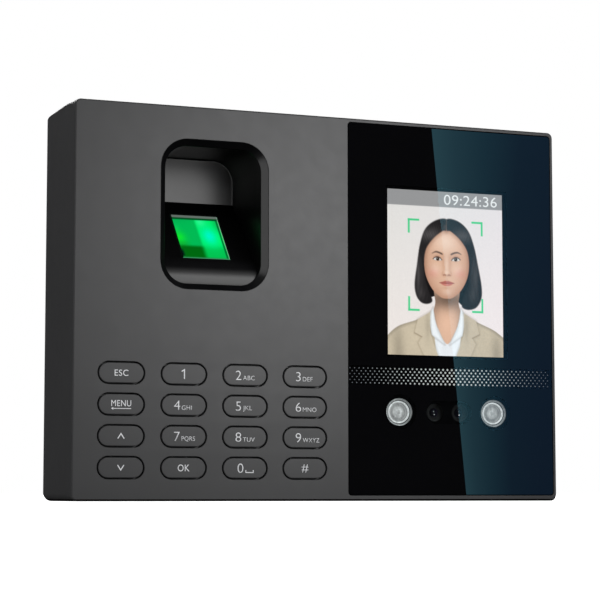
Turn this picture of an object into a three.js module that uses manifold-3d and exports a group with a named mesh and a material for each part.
// Fingerprint scanner terminal: a wall-hung or free-standing access terminal with a finger recess,
// a sixteen-key pad, and a glass window over a display, two cameras and two lamps.
// Millimetres, +Z up. The front faces -Y. The origin is the centre of the footprint, on the base
// plane. Pieces are built with X from the left side (0) to the right side (WIDTH) and Y from the
// front face (0) to the back (DEPTH); the terminal group then centres them.
import * as THREE from "three";
import { mergeVertices } from "three/addons/utils/BufferGeometryUtils.js";
import Module from "manifold-3d";

const wasm = await Module();
wasm.setup();

// ---------------------------------------------------------------- driving dimensions
// A rectangle on the face is [x0, x1, z0, z1].
const inset = ([x0, x1, z0, z1], margin) => [x0 + margin, x1 - margin, z0 + margin, z1 - margin];
const centred = (x, z, width, height) => [
  x - width / 2,
  x + width / 2,
  z - height / 2,
  z + height / 2,
];
// Every [x, z] of a grid, row by row.
const grid = (xs, zs) => zs.flatMap((z) => xs.map((x) => [x, z]));

const WIDTH = 174.9;
const HEIGHT = 130.0;
const DEPTH = 36.5;
const FACE = [0, WIDTH, 0, HEIGHT];
const CORNER_R = 2.0; // outline corners
const EDGE_R = 0.8; // front edge rounding
const WALL = 2.2; // shell wall
const STEP_Y = 3.7; // inner face of the shell behind the glass
const OVERLAP = 0.1; // how far joined solids run into each other

const GLASS = [95.9, 173.7, 1.7, 128.7];
const GLASS_T = 1.1;
const GLASS_GAP = 0.1;
const SEAT_Y = 1.5; // depth of the glass seat

const TRAY = [108.1, 158.5, 42.8, 110.6]; // display tray
const OPTICS = [108.3, 158.1, 21.4, 38.6]; // camera holder and camera board
const OPTICS_Z = 30.0; // centre line of the lamps and cameras
const LAMP_XS = [115.15, 151.0];
const CAMERA_XS = [128.5, 138.0];
const CAMERA_MID_X = (CAMERA_XS[0] + CAMERA_XS[1]) / 2;

const KEY = { width: 15.1, height: 6.6, edgeR: 0.3 };
const KEY_HOLE = { width: 16.0, height: 7.5 };
const KEY_FLANGE = { width: 17.0, height: 8.5, y0: 2.45, y1: 3.3 };
const STEM = { r: 1.6, y1: 5.9 };
const KEYS = grid(
  [0, 1, 2, 3].map((col) => 16.3 + 21.25 * col),
  [0, 1, 2, 3].map((row) => 41.15 - 10.19 * row),
);
const KEY_NAMES = [
  "escape", "1", "2", "3",
  "menu", "4", "5", "6",
  "up", "7", "8", "9",
  "down", "enter", "0", "hash",
];

const FINGER = { x: 48.1, z: 94.15, width: 37.8, height: 50.0, r: 9.6 }; // recess mouth
const MOUTH_CHAMFER = 2.1;
const RECESS_BACK_Y = 27.0;
const RAMP_TOP = [26.9, 101.8]; // (y, z) of the sensor ramp's upper edge
const RAMP_LOW = [5.2, 77.1]; // (y, z) where the ramp starts to roll into the lip
const RAMP_SKIN = 1.8;
const SENSOR = { width: 16.8, length: 21.0, y: 15.3, z: 88.5 }; // window in the ramp

const COVER_Y = 34.5; // inner face of the rear cover's rim plate
const BOSS_INSET = { x: 6.4, z: 6.0 };
const BOSSES = grid([BOSS_INSET.x, WIDTH - BOSS_INSET.x], [BOSS_INSET.z, HEIGHT - BOSS_INSET.z]);
const POSTS = grid([100.5, 164.5], [30, 113.5]);
const BOARD = [96.5, 168.0, 24.0, 117.0]; // main board
const BOARD_Y0 = 20.0;
const BOARD_Y1 = 21.6;
const BAY = { x0: 104, x1: 160, z1: 20, y0: 17 }; // port bay
const SOCKET_Y0 = BOARD_Y1 + 0.15;
// y1: back of the socket; openingY1: back of its opening in the bay roof
const SOCKETS = {
  lan: { x0: 108, x1: 124, y1: 34.2, openingY1: 34.45 },
  usb: { x0: 129, x1: 143.4, y1: 28.9, openingY1: 29.2 },
  power: { x0: 148, x1: 157, y1: 32.7, openingY1: 33.0 },
};
const SPEAKER = { x: 16.2, z: 62 };
const DISH = [32, 142.5, 47, 111]; // recess for the wall bracket
const DISH_FLOOR_Y = 33.5;
const STRIP = { x0: 76.25, x1: 98.25 }; // lower arm of the dish
const MID_X = (STRIP.x0 + STRIP.x1) / 2; // centre line of the wall bracket
const HOOKS = grid([MID_X - 14.75, MID_X + 14.75], [54, 98]);
const BRACKET_Y0 = 35.0;
const BASE_SCREW_Y = 28.5;

// ---------------------------------------------------------------- solids
const join = (first, ...rest) => rest.reduce((sum, piece) => sum.add(piece), first);
const cut = (first, ...rest) => rest.reduce((left, piece) => left.subtract(piece), first);

// A manifold from a closed geometry, turned right side out if its faces wind inwards.
function solid(geometry) {
  const flat = geometry.index ? geometry.toNonIndexed() : geometry;
  const bare = new THREE.BufferGeometry().setAttribute("position", flat.getAttribute("position"));
  const welded = mergeVertices(bare, 1e-4);
  const triVerts = new Uint32Array(welded.index.array);
  const build = () =>
    new wasm.Manifold(
      new wasm.Mesh({
        numProp: 3,
        vertProperties: new Float32Array(welded.attributes.position.array),
        triVerts,
      }),
    );
  const made = build();
  if (made.volume() > 0) return made;
  for (let i = 0; i < triVerts.length; i += 3)
    [triVerts[i + 1], triVerts[i + 2]] = [triVerts[i + 2], triVerts[i + 1]];
  return build();
}

// triangles: a list of [a, b, c], each corner [x, y, z]
const fromTriangles = (triangles) =>
  solid(
    new THREE.BufferGeometry().setAttribute(
      "position",
      new THREE.Float32BufferAttribute(triangles.flat(2), 3),
    ),
  );

const box = (x0, x1, y0, y1, z0, z1) =>
  solid(
    new THREE.BoxGeometry(x1 - x0, y1 - y0, z1 - z0).translate(
      (x0 + x1) / 2,
      (y0 + y1) / 2,
      (z0 + z1) / 2,
    ),
  );
// rows: [x0, x1, y0, y1, z0, z1]
const boxes = (rows) => rows.map((row) => box(...row));
const slab = ([x0, x1, z0, z1], y0, y1) => box(x0, x1, y0, y1, z0, z1);

function extrudeGeometry(points, depth, options) {
  const vectors = (list) => list.map(([u, v]) => new THREE.Vector2(u, v));
  const { holes = [], bevel = {} } = options;
  const shape = new THREE.Shape(vectors(points));
  for (const hole of holes) shape.holes.push(new THREE.Path(vectors(hole)));
  return new THREE.ExtrudeGeometry(shape, {
    depth,
    bevelEnabled: false,
    curveSegments: 1,
    steps: 1,
    ...bevel,
  });
}
// [y, z] points extruded from x0 to x1
function extrudeX(points, x0, x1) {
  const axes = [[0, 1, 0], [0, 0, 1], [1, 0, 0]].map((axis) => new THREE.Vector3(...axis));
  const geometry = extrudeGeometry(points, x1 - x0, {});
  geometry.applyMatrix4(new THREE.Matrix4().makeBasis(...axes));
  return solid(geometry.translate(x0, 0, 0));
}
// [x, z] points extruded from y0 to y1; a bevel reaches past both ends
function extrudeY(points, y0, y1, options = {}) {
  const axes = [[1, 0, 0], [0, 0, 1], [0, -1, 0]].map((axis) => new THREE.Vector3(...axis));
  const geometry = extrudeGeometry(points, y1 - y0, options);
  geometry.applyMatrix4(new THREE.Matrix4().makeBasis(...axes));
  return solid(geometry.translate(0, y1, 0));
}
const bevelOf = (size, segments) => ({
  bevelEnabled: true,
  bevelThickness: size,
  bevelSize: size,
  bevelOffset: 0,
  bevelSegments: segments,
});

const cylinderY = (x, z, r, y0, y1, segments) =>
  solid(new THREE.CylinderGeometry(r, r, y1 - y0, segments).translate(x, (y0 + y1) / 2, z));
const cylinderZ = (x, y, r, z0, z1, segments) =>
  solid(
    new THREE.CylinderGeometry(r, r, z1 - z0, segments)
      .rotateX(Math.PI / 2)
      .translate(x, y, (z0 + z1) / 2),
  );
// profile: [radius, y] points, turned round the depth axis
const latheY = (x, z, profile, segments) =>
  solid(
    new THREE.LatheGeometry(
      profile.map(([r, y]) => new THREE.Vector2(r, y)),
      segments,
    ).translate(x, 0, z),
  );

function arc(x, z, r, start, sweep, segments) {
  const points = [];
  for (let i = 0; i <= segments; i++) {
    const angle = start + (i / segments) * sweep;
    points.push([x + r * Math.cos(angle), z + r * Math.sin(angle)]);
  }
  return points;
}
// radius: one value, or low-left, low-right, high-right, high-left
function roundRect([x0, x1, z0, z1], radius, segments) {
  const [a, b, c, d] = Array.isArray(radius) ? radius : Array(4).fill(radius);
  const quarter = Math.PI / 2;
  return [
    ...arc(x0 + a, z0 + a, a, 2 * quarter, quarter, segments),
    ...arc(x1 - b, z0 + b, b, 3 * quarter, quarter, segments),
    ...arc(x1 - c, z1 - c, c, 0, quarter, segments),
    ...arc(x0 + d, z1 - d, d, quarter, quarter, segments),
  ];
}
function capsule(x, z, width, height, segments) {
  const r = height / 2;
  const reach = width / 2 - r;
  return [
    ...arc(x + reach, z, r, -0.5 * Math.PI, Math.PI, segments),
    ...arc(x - reach, z, r, 0.5 * Math.PI, Math.PI, segments),
  ];
}

// A solid through rings of equal point count, each {y, points}.
function loftY(rings) {
  const count = rings[0].points.length;
  const at = (ring, i) => {
    const [x, z] = rings[ring].points[i % count];
    return [x, rings[ring].y, z];
  };
  const triangles = [];
  for (let k = 0; k + 1 < rings.length; k++)
    for (let i = 0; i < count; i++) {
      triangles.push([at(k, i), at(k + 1, i), at(k + 1, i + 1)]);
      triangles.push([at(k, i), at(k + 1, i + 1), at(k, i + 1)]);
    }
  const cap = (ring, flip) => {
    const contour = rings[ring].points.map(([x, z]) => new THREE.Vector2(x, z));
    for (const [a, b, c] of THREE.ShapeUtils.triangulateShape(contour, []))
      triangles.push((flip ? [a, c, b] : [a, b, c]).map((i) => at(ring, i)));
  };
  cap(0, false);
  cap(rings.length - 1, true);
  return fromTriangles(triangles);
}

// A flat cable: a thin strip swept along a curve; across is the direction of its width.
function cable(points, { width, across, thickness, steps }) {
  const stations = points.map((point) => new THREE.Vector3(...point));
  const path = new THREE.CatmullRomCurve3(stations, false, "catmullrom", 0.35);
  const side = new THREE.Vector3(...across).normalize();
  const corners = [[-1, -1], [1, -1], [1, 1], [-1, 1]];
  const rings = [];
  for (let i = 0; i <= steps; i++) {
    const centre = path.getPoint(i / steps);
    const normal = path.getTangent(i / steps).cross(side).normalize();
    rings.push(
      corners.map(([u, v]) =>
        centre
          .clone()
          .addScaledVector(side, (u * width) / 2)
          .addScaledVector(normal, (v * thickness) / 2)
          .toArray(),
      ),
    );
  }
  const triangles = [];
  for (let i = 0; i < steps; i++)
    for (let k = 0; k < 4; k++) {
      const next = (k + 1) % 4;
      triangles.push([rings[i][k], rings[i + 1][next], rings[i + 1][k]]);
      triangles.push([rings[i][k], rings[i][next], rings[i + 1][next]]);
    }
  const [start, end] = [rings[0], rings[steps]];
  triangles.push([start[0], start[2], start[1]], [start[0], start[3], start[2]]);
  triangles.push([end[0], end[1], end[2]], [end[0], end[2], end[3]]);
  return fromTriangles(triangles);
}

// A cross-slotted screw seen from the back. head and shank: [r, y0, y1, segments]
function screwY(x, z, { head, shank, slot }) {
  return cut(
    join(cylinderY(x, z, ...head), cylinderY(x, z, ...shank)),
    slab(centred(x, z, slot.length, slot.width), slot.y0, slot.y1),
    slab(centred(x, z, slot.width, slot.length), slot.y0, slot.y1),
  );
}

// ---------------------------------------------------------------- materials
const standard = (look) => new THREE.MeshStandardMaterial(look);
const MATERIALS = {
  shell: standard({ color: 0x3b3b3c, roughness: 0.55 }),
  cover: standard({ color: 0x2b2b2c, roughness: 0.7 }),
  steel: standard({ color: 0x9a9c9e, roughness: 0.35, metalness: 1 }),
  glass: standard({ color: 0x05070a, roughness: 0.03 }),
  tape: standard({ color: 0x101010, roughness: 0.8 }),
  lcd: standard({ color: 0xdfe0e2, roughness: 0.3 }),
  tray: standard({ color: 0xb8babd, roughness: 0.3, metalness: 1 }),
  flex: standard({ color: 0xc07a22, roughness: 0.5 }),
  gloss: standard({ color: 0x0b0b0c, roughness: 0.2 }),
  prism: standard({ color: 0x12c860, roughness: 0.05 }),
  pcb: standard({ color: 0x0f5a35, roughness: 0.5 }),
  rubber: standard({ color: 0x333436, roughness: 0.8 }),
  key: standard({ color: 0x3b3b3c, roughness: 0.55 }),
  reflector: standard({ color: 0xd9dadb, roughness: 0.15, metalness: 1 }),
  lens: standard({ color: 0xe6e8ea, roughness: 0.05 }),
  black: standard({ color: 0x141414, roughness: 0.5 }),
  socket: standard({ color: 0xa9abad, roughness: 0.3, metalness: 1 }),
  paper: standard({ color: 0x35332f, roughness: 0.9 }),
};

// ---------------------------------------------------------------- front shell
const fingerOutline = (margin) =>
  roundRect(
    inset(centred(FINGER.x, FINGER.z, FINGER.width, FINGER.height), margin),
    FINGER.r - margin,
    8,
  );

// Outline with a rounded front edge and a flat back, hollowed out.
function shellBody() {
  const outline = roundRect(inset(FACE, EDGE_R), CORNER_R - EDGE_R, 3);
  return cut(
    extrudeY(outline, EDGE_R, DEPTH + 3, { bevel: bevelOf(EDGE_R, 2) }),
    slab(inset(FACE, -5), DEPTH, DEPTH + 10),
    slab(inset(FACE, WALL), WALL, DEPTH + 5),
  );
}

function shellOpenings() {
  const seat = roundRect(inset(GLASS, -GLASS_GAP), [0.5, 1.3, 1.3, 0.5], 3);
  const camera = capsule(CAMERA_MID_X, OPTICS_Z, 18.2, 8.6, 8);
  return [
    extrudeY(seat, -2, SEAT_Y),
    slab(inset(TRAY, -0.4), 1, STEP_Y + 1),
    ...LAMP_XS.map((x) => cylinderY(x, OPTICS_Z, 5.7, 1, STEP_Y + 1, 24)),
    extrudeY(camera, 1, STEP_Y + 1),
    extrudeY(fingerOutline(-0.1), -2, WALL + 1),
    ...KEYS.map(([x, z]) =>
      extrudeY(capsule(x, z, KEY_HOLE.width, KEY_HOLE.height, 5), -2, WALL + 1),
    ),
  ];
}

function frontShell() {
  const inner = WALL - OVERLAP;
  const thickFloor = box(93.3, WIDTH - inner, inner, STEP_Y, inner, HEIGHT - inner);
  const opened = cut(join(shellBody(), thickFloor), ...shellOpenings());
  // screw bosses for the rear cover, posts for the main board
  const drilled = cut(
    join(
      opened,
      ...BOSSES.map(([x, z]) => cylinderY(x, z, 2.6, WALL - 0.2, 30.2, 8)),
      ...POSTS.map(([x, z]) => cylinderY(x, z, 2.4, STEP_Y - 0.2, BOARD_Y0 - 0.1, 8)),
    ),
    ...BOSSES.map(([x, z]) => cylinderY(x, z, 1.45, 14, 31, 8)),
    ...POSTS.map(([x, z]) => cylinderY(x, z, 1.15, 10, 21, 8)),
  );
  return cut(
    join(
      drilled,
      // guide ribs beside the key board
      box(91.5, 92.7, inner, 9.5, 6, 46),
      box(10.6, 88.5, inner, 9.5, 49.6, 50.8),
      // bracket screw seat in the base
      box(MID_X - 6, MID_X + 6, 23.5, 33.5, inner, 4.4),
    ),
    cylinderZ(MID_X, BASE_SCREW_Y, 1.75, -1, 6, 14),
    cylinderZ(MID_X, BASE_SCREW_Y, 3.1, -1, 2.4, 18),
    // base notch of the port bay
    box(BAY.x0 - 2.2, BAY.x1 + 2.2, BAY.y0 - 2.2, DEPTH + 5, -1, WALL + 0.1),
  );
}

// ---------------------------------------------------------------- keypad
// One key about its own centre: cap, flange and stem.
function key() {
  const { width, height, edgeR } = KEY;
  const outline = capsule(0, 0, width - 2 * edgeR, height - 2 * edgeR, 5);
  const cap = extrudeY(outline, edgeR, KEY_FLANGE.y0 + 0.4, { bevel: bevelOf(edgeR, 1) });
  const flange = roundRect(centred(0, 0, KEY_FLANGE.width, KEY_FLANGE.height), 2.5, 1);
  return join(
    cut(cap, box(-20, 20, KEY_FLANGE.y0 + 0.2, 9, -20, 20)),
    extrudeY(flange, KEY_FLANGE.y0, KEY_FLANGE.y1),
    cylinderY(0, 0, STEM.r, KEY_FLANGE.y1 - OVERLAP, STEM.y1, 6),
  );
}

// Silicone sheet with a raised collar round each key's stem.
function keypadMat() {
  const collar = ([x, z]) =>
    solid(new THREE.CylinderGeometry(3.3, 2.5, 1.5, 8).translate(x, 5.25, z));
  return cut(
    join(box(10.8, 89.6, STEM.y1, 6.8, 5.4, 47.0), ...KEYS.map(collar)),
    ...KEYS.map(([x, z]) => cylinderY(x, z, 2.05, 4, 8, 6)),
  );
}

// Board with three blocks on its back.
const keypadBoard = () =>
  join(
    ...boxes([
      [10.8, 89.6, 6.9, 8.5, 5.2, 47.2],
      [70, 84, 8.4, 10.2, 40.5, 45.5],
      [30, 36, 8.4, 9.3, 22, 28],
      [46, 49, 8.4, 9.2, 34, 36],
    ]),
  );

// ---------------------------------------------------------------- finger sensor
const rampRise = [RAMP_TOP[0] - RAMP_LOW[0], RAMP_TOP[1] - RAMP_LOW[1]];
const upRamp = rampRise.map((run) => run / Math.hypot(...rampRise));
const offRamp = [-upRamp[1], upRamp[0]]; // out of the ramp, towards the user
// distance of the window centre from the ramp line
const windowLift =
  (SENSOR.y - RAMP_LOW[0]) * offRamp[0] + (SENSOR.z - RAMP_LOW[1]) * offRamp[1];
// (y, z) at a distance up the ramp from the window centre, and out from the ramp face
const onRamp = (along, out) => [
  SENSOR.y + upRamp[0] * along + offRamp[0] * (out - windowLift),
  SENSOR.z + upRamp[1] * along + offRamp[1] * (out - windowLift),
];
const acrossFinger = (points, halfWidth) =>
  extrudeX(points, FINGER.x - halfWidth, FINGER.x + halfWidth);
// A rectangle square to the ramp, centred on the window.
const rampRect = (half, inner, outer) => [
  onRamp(-half, inner),
  onRamp(half, inner),
  onRamp(half, outer),
  onRamp(-half, outer),
];

// Filling under the ramp: straight under the window, rolling into the lip.
function rampFill() {
  const lipY = MOUTH_CHAMFER;
  const lipZ = FINGER.z - FINGER.height / 2 + MOUTH_CHAMFER + 0.05;
  const roll = new THREE.QuadraticBezierCurve(
    new THREE.Vector2(...RAMP_LOW),
    new THREE.Vector2(lipY + 0.15, lipZ + 2.6),
    new THREE.Vector2(lipY, lipZ),
  );
  const rollPoints = roll.getPoints(5).map((point) => point.toArray());
  return extrudeX([[lipY, 55], [45, 55], [45, RAMP_TOP[1]], RAMP_TOP, ...rollPoints], 10, 86);
}

function sensorBezel() {
  const tube = roundRect(centred(FINGER.x, FINGER.z, 36.2, 48.4), 8.6, 8);
  const body = join(
    extrudeY(fingerOutline(0), 0, 3.0),
    extrudeY(tube, 2.8, RECESS_BACK_Y + 1.5),
    extrudeY(fingerOutline(-1.9), WALL + 0.15, 3.4), // flange behind the shell wall
  );
  // chamfered mouth, then walls that close in slightly towards the back
  const hollow = loftY([
    { y: -1, points: fingerOutline(-1) },
    { y: 0, points: fingerOutline(0) },
    { y: MOUTH_CHAMFER, points: fingerOutline(MOUTH_CHAMFER) },
    { y: RECESS_BACK_Y, points: fingerOutline(MOUTH_CHAMFER + 1.1) },
  ]);
  // room under the ramp for the sensor unit, open to the back
  const roomTop = onRamp(15.2, -RAMP_SKIN);
  const room = [[10.5, 74.2], [45, 74.2], [45, roomTop[1]], roomTop, onRamp(-11.8, -RAMP_SKIN)];
  const gap = 0.3; // round the prism
  return cut(
    body,
    cut(hollow, rampFill()),
    acrossFinger(room, 14.6),
    acrossFinger(rampRect(SENSOR.length / 2 + gap, -6, 3), SENSOR.width / 2 + gap),
  );
}

// Glass block under the finger.
const sensorPrism = () =>
  acrossFinger(rampRect(SENSOR.length / 2, -4.2, -0.15), SENSOR.width / 2);

// Optical unit behind the prism, with its light well open under the block.
function sensorHousing() {
  const low = onRamp(-11.2, -4.5);
  const high = onRamp(14.0, -4.5);
  const outline = [low, high, [29.4, high[1]], [29.4, 74.6], [low[0] + 1.5, 74.6]];
  const well = [
    onRamp(-8.5, -3),
    onRamp(8.5, -3),
    onRamp(8.5, -9),
    [26.5, 84],
    [26.5, 77],
    [onRamp(-8.5, -9)[0], 77],
  ];
  return cut(acrossFinger(outline, 14), acrossFinger(well, 7));
}

const sensorBoard = () =>
  join(
    box(FINGER.x - 14, 73.0, 29.6, 30.8, 75.0, 95.0),
    box(67.4, 72.0, 26.6, 29.7, 78, 88), // cable connector, facing the front
  );

// ---------------------------------------------------------------- glass window and display
const frontGlass = () => extrudeY(roundRect(GLASS, [0.4, 1.2, 1.2, 0.4], 3), 0, GLASS_T);

// Tape behind the glass, open over the display and over the lamps and cameras.
function glassTape() {
  const clearance = 0.03;
  const holes = [
    roundRect([107.0, 159.6, 41.8, 111.6], 0.5, 1),
    capsule(133.1, OPTICS_Z, 50.0, 13.2, 6),
  ];
  const outline = roundRect(inset(GLASS, 0.6), 0.6, 2);
  return extrudeY(outline, GLASS_T + clearance, SEAT_Y - clearance, { holes });
}

// Tray open to the front, with a notch in its lower wall for the flat cable.
const lcdTray = () =>
  cut(slab(TRAY, 1.7, 5.0), slab(inset(TRAY, 1), 1.0, 3.4), box(120, 145, 3.0, 6, 42, 44.6));

const lcdPanel = () => slab(inset(TRAY, 1.2), 1.75, 3.3);

function lcdFlex() {
  const x = 132.5;
  // [y, z] from the tray to the main board
  const stations = [[3.9, 44.4], [5.4, 42.9], [9.0, 43.2], [13.0, 46.5], [17.2, 52.0], [19.4, 58.0]];
  return cable(
    stations.map(([y, z]) => [x, y, z]),
    { width: 20, across: [1, 0, 0], thickness: 0.35, steps: 14 },
  );
}

// ---------------------------------------------------------------- cameras and lamps
const opticsPlate = (y0, y1) => extrudeY(roundRect(OPTICS, 1.5, 2), y0, y1);

const cameraHolder = () =>
  cut(
    opticsPlate(4.0, 9.7),
    ...LAMP_XS.map((x) => cylinderY(x, OPTICS_Z, 5.75, 3, 11, 20)),
    extrudeY(capsule(CAMERA_MID_X, OPTICS_Z, 18.6, 9.2, 5), 3, 11),
    box(123.7, 142.8, 6.5, 11, OPTICS_Z - 4.6, OPTICS_Z + 4.6),
  );

// Board with a small block behind each lamp and one block on its back.
const cameraBoard = () =>
  join(
    opticsPlate(9.9, 11.5),
    ...LAMP_XS.map((x) => slab(centred(x, OPTICS_Z, 3, 3), 8.9, 10)),
    box(126, 139, 11.4, 13.2, 33, 37.5),
  );

// Lathe profiles, [radius, y]
const LAMP_CUP = [[5.4, 1.7], [5.4, 3.0], [2.6, 8.6], [1.9, 8.6], [3.9, 4.6], [4.9, 1.7], [5.4, 1.7]];
const LAMP_LENS = [[0, 2.3], [2.2, 2.6], [3.6, 3.3], [3.5, 4.4], [0, 4.6]];
const CAMERA_BARREL = [[0, 2.9], [1.9, 2.9], [3.0, 1.9], [3.4, 1.9], [3.4, 7.0], [0, 7.0]];
const CAMERA_LENS = [[0, 2.1], [1.2, 2.35], [1.6, 2.85], [0, 2.85]];

const camera = (x) =>
  join(
    latheY(x, OPTICS_Z, CAMERA_BARREL, 14),
    slab(centred(x, OPTICS_Z, 8.6, 8.6), 6.8, 9.8),
  );

// ---------------------------------------------------------------- main board
function mainBoard() {
  const parts = boxes([
    [123, 142, 17.8, 20.1, 58.2, 62.2], // display connector, front side
    [98.5, 103.5, 21.5, 25.5, 70, 84], // sensor connector
    [98.5, 103.5, 21.5, 25.5, 46, 60], // key board connector
    [152, 162, 21.5, 23.2, 66, 80], // memory
    [124, 134, 21.5, 22.9, 94, 104], // radio
    [146, 156, 21.5, 27.5, 46, 54], // inductor
    [110, 116, 17.4, 20.1, 96, 110], // front-side regulator
  ]);
  const cans = [142, 150].map((x) => cylinderY(x, 100, 3.2, 21.5, 29, 8));
  return cut(
    join(slab(BOARD, BOARD_Y0, BOARD_Y1), ...parts, ...cans),
    ...POSTS.map(([x, z]) => cylinderY(x, z, 1.5, 19, 23, 8)),
  );
}

const processorShield = () => box(114, 146, BOARD_Y1 + 0.05, 24.2, 60, 88);
const clockCell = () => cylinderY(112, 104, 6.2, BOARD_Y1 + 0.1, 24.9, 20);

const BOARD_SCREW = {
  head: [2.2, 21.75, 23.3, 10],
  shank: [1.0, 14, 21.9, 6],
  slot: { length: 3, width: 0.5, y0: 22.8, y1: 24 },
};

const sensorCable = () =>
  cable(
    [
      [72.4, 28.1, 83.0], [76.0, 28.1, 83.0], [83.0, 27.3, 82.0],
      [90.0, 24.8, 79.0], [95.0, 23.6, 77.3], [98.2, 23.6, 77.0],
    ],
    { width: 8, across: [0, 0, 1], thickness: 0.6, steps: 12 },
  );

const keypadCable = () =>
  cable(
    [
      [77, 10.7, 43.0], [79, 13.0, 46.5], [85, 17.5, 50.5],
      [91.5, 22.5, 53.0], [96.0, 25.6, 53.3], [101, 26.2, 53.0],
    ],
    { width: 10, across: [0.15, 0, 0.99], thickness: 0.7, steps: 12 },
  );

// ---------------------------------------------------------------- sockets, facing down
const socketBlock = ({ x0, x1, y1 }, z1) => box(x0, x1, SOCKET_Y0, y1, BAY.z1, z1);

const lanSocket = () =>
  cut(
    socketBlock(SOCKETS.lan, 41),
    box(109.9, 122.1, SOCKET_Y0 + 2.2, SOCKET_Y0 + 10.0, 19, 35),
    box(113.2, 118.8, SOCKET_Y0 + 9.5, 33.4, 19, 35),
  );

const usbSocket = () =>
  join(
    cut(socketBlock(SOCKETS.usb, 34), box(129.9, 142.5, SOCKET_Y0 + 0.9, 28.0, 19, 32)),
    box(130.9, 141.5, SOCKET_Y0 + 1.0, SOCKET_Y0 + 2.9, 21.5, 33), // tongue
  );

const powerJack = () =>
  join(
    cut(socketBlock(SOCKETS.power, 34), cylinderZ(152.5, 27.4, 3.3, 19, 31, 20)),
    cylinderZ(152.5, 27.4, 1.0, 21.5, 32, 12), // centre pin
  );

// ---------------------------------------------------------------- speaker
// Lathe profiles, [radius, y]
const SPEAKER_FRAME = [
  [0, 26.4], [6.5, 26.4], [6.5, 28.6], [11.0, 30.4], [12.0, 33.0],
  [12.0, 34.0], [10.8, 34.0], [10.4, 32.0], [5.6, 30.4], [0, 30.4],
];
const SPEAKER_CONE = [
  [0, 31.1], [4.0, 31.2], [9.6, 32.6], [10.0, 33.4], [4.2, 31.9], [3.0, 32.5], [0, 32.9],
];

// ---------------------------------------------------------------- rear cover
// Five slots stacked about a centre.
const slotStack = (x, z) =>
  [12, 17, 19, 17, 12].map((width, i) =>
    extrudeY(capsule(x, z + (i - 2) * 4, width, 1.7, 2), 34, DEPTH + 1),
  );

function rearCover() {
  const edge = WALL + 0.3; // the cover clears the shell wall all round
  const outline = roundRect(inset(FACE, edge), 0.6, 2);
  const rim = 2; // wall round the dish, its lower arm and the port bay
  const body = join(
    extrudeY(outline, COVER_Y, DEPTH),
    slab(inset(DISH, -rim), 31.5, DEPTH),
    box(STRIP.x0 - rim, STRIP.x1 + rim, 31.5, DEPTH, edge, DISH[2]),
    box(BAY.x0 - rim, BAY.x1 + rim, BAY.y0 - rim, DEPTH, 0.6, BAY.z1 + rim),
    ...BOSSES.map(([x, z]) =>
      cylinderY(x, z, 4.6, 30.5, DEPTH - 0.6, 12).intersect(extrudeY(outline, 20, 50)),
    ),
  );
  return cut(
    body,
    slab(DISH, DISH_FLOOR_Y, DEPTH + 1),
    box(STRIP.x0, STRIP.x1, DISH_FLOOR_Y, DEPTH + 1, WALL - 1, DISH[2] + 1),
    box(STRIP.x0, STRIP.x1, 30, DEPTH + 1, WALL - 1, 9),
    box(BAY.x0, BAY.x1, BAY.y0, DEPTH + 1, -1, BAY.z1),
    // socket openings in the bay roof
    ...Object.values(SOCKETS).map(({ x0, x1, openingY1 }) =>
      box(x0 - 0.3, x1 + 0.3, 21.4, openingY1, 19, 23),
    ),
    ...BOSSES.map(([x, z]) => cylinderY(x, z, 3.05, 33.0, DEPTH + 1, 12)),
    ...BOSSES.map(([x, z]) => cylinderY(x, z, 1.6, 29, DEPTH, 8)),
    ...slotStack(SPEAKER.x, SPEAKER.z), // sound slots
    ...slotStack(158.3, 100), // vents
    // bracket hook slots in the dish floor
    ...HOOKS.map(([x, z]) => box(x - 5, x + 5, 30, 35, z - 1.5, z + 9.5)),
  );
}

const COVER_SCREW = {
  head: [2.75, 33.15, 35.3, 12],
  shank: [1.3, 20, 33.3, 6],
  slot: { length: 3.4, width: 0.7, y0: 34.4, y1: 36 },
};

// ---------------------------------------------------------------- wall bracket
function wallBracket() {
  const holes = [roundRect([MID_X - 7.5, MID_X + 7.5, 64, 90], 3, 4)];
  const plate = extrudeY(roundRect(inset(DISH, 1), 3, 4), BRACKET_Y0, DEPTH, { holes });
  const hooks = HOOKS.flatMap(([x, z]) =>
    boxes([
      [x - 4, x + 4, 29.7, BRACKET_Y0 + OVERLAP, z, z + 1.5],
      [x - 4, x + 4, 29.7, 31.2, z, z + 7],
    ]),
  );
  const wallHoles = grid([MID_X - 45, MID_X + 45], [56, 102]);
  return cut(
    join(
      plate,
      box(STRIP.x0 + 1, STRIP.x1 - 1, BRACKET_Y0, DEPTH, 4.7, DISH[2] + 3),
      // folded tongue over the base screw
      box(STRIP.x0 + 1, STRIP.x1 - 1, 24.5, DEPTH, 4.7, 6.2),
      ...hooks,
    ),
    ...wallHoles.map(([x, z]) => cylinderY(x, z, 2.2, 30, 40, 10)),
    cylinderZ(MID_X, BASE_SCREW_Y, 1.55, 3, 8, 12),
  );
}

// Upright screw through the base, cross-slotted from below.
function bracketScrew() {
  const slot = (halfX, halfY) =>
    box(MID_X - halfX, MID_X + halfX, BASE_SCREW_Y - halfY, BASE_SCREW_Y + halfY, -1, 1.1);
  return cut(
    join(
      cylinderZ(MID_X, BASE_SCREW_Y, 2.75, 0.35, 2.25, 16),
      cylinderZ(MID_X, BASE_SCREW_Y, 1.35, 2.1, 9.0, 10),
    ),
    slot(1.7, 0.35),
    slot(0.35, 1.7),
  );
}

// ---------------------------------------------------------------- assembly
const terminal = new THREE.Group();
terminal.position.set(-WIDTH / 2, -DEPTH / 2, 0);

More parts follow.
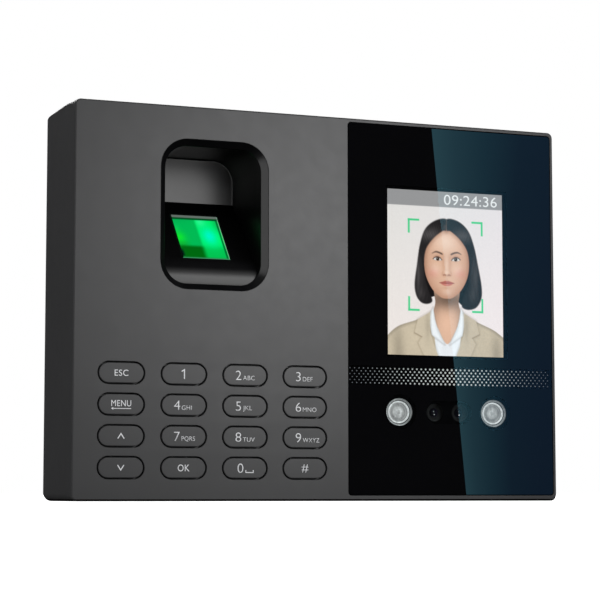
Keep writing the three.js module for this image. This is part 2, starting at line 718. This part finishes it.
function add(name, piece, material, at = [0, 0, 0]) {
  const { vertProperties, triVerts } = piece.getMesh();
  const geometry = new THREE.BufferGeometry()
    .setAttribute("position", new THREE.BufferAttribute(new Float32Array(vertProperties), 3))
    .setIndex(new THREE.BufferAttribute(new Uint32Array(triVerts), 1));
  geometry.computeVertexNormals();
  const mesh = new THREE.Mesh(geometry, MATERIALS[material]);
  mesh.name = name;
  mesh.position.set(...at);
  terminal.add(mesh);
}

add("front_shell", frontShell(), "shell");
KEYS.forEach(([x, z], i) => add(`key_${KEY_NAMES[i]}`, key(), "key", [x, 0, z]));
add("keypad_mat", keypadMat(), "rubber");
add("keypad_board", keypadBoard(), "pcb");

add("sensor_bezel", sensorBezel(), "gloss");
add("sensor_prism", sensorPrism(), "prism");
add("sensor_housing", sensorHousing(), "black");
add("sensor_board", sensorBoard(), "pcb");

add("front_glass", frontGlass(), "glass");
add("glass_tape", glassTape(), "tape");
add("lcd_tray", lcdTray(), "tray");
add("lcd_panel", lcdPanel(), "lcd");
add("lcd_flex", lcdFlex(), "flex");

add("camera_holder", cameraHolder(), "black");
add("camera_board", cameraBoard(), "pcb");
["left", "right"].forEach((side, i) => {
  add(`lamp_cup_${side}`, latheY(LAMP_XS[i], OPTICS_Z, LAMP_CUP, 16), "reflector");
  add(`lamp_lens_${side}`, latheY(LAMP_XS[i], OPTICS_Z, LAMP_LENS, 14), "lens");
});
["color", "infrared"].forEach((kind, i) => {
  add(`camera_${kind}`, camera(CAMERA_XS[i]), "black");
  add(`camera_lens_${kind}`, latheY(CAMERA_XS[i], OPTICS_Z, CAMERA_LENS, 12), "glass");
});

add("main_board", mainBoard(), "pcb");
add("processor_shield", processorShield(), "tray");
add("clock_cell", clockCell(), "socket");
POSTS.forEach(([x, z], i) => add(`board_screw_${i + 1}`, screwY(x, z, BOARD_SCREW), "steel"));
add("sensor_cable", sensorCable(), "flex");
add("keypad_cable", keypadCable(), "flex");

add("lan_socket", lanSocket(), "socket");
add("usb_socket", usbSocket(), "socket");
add("power_jack", powerJack(), "black");

add("speaker_frame", latheY(SPEAKER.x, SPEAKER.z, SPEAKER_FRAME, 16), "black");
add("speaker_cone", latheY(SPEAKER.x, SPEAKER.z, SPEAKER_CONE, 14), "paper");

add("rear_cover", rearCover(), "cover");
BOSSES.forEach(([x, z], i) => add(`cover_screw_${i + 1}`, screwY(x, z, COVER_SCREW), "steel"));
add("wall_bracket", wallBracket(), "steel");
add("bracket_screw", bracketScrew(), "steel");

const part = new THREE.Group();
part.add(terminal);
export default part;
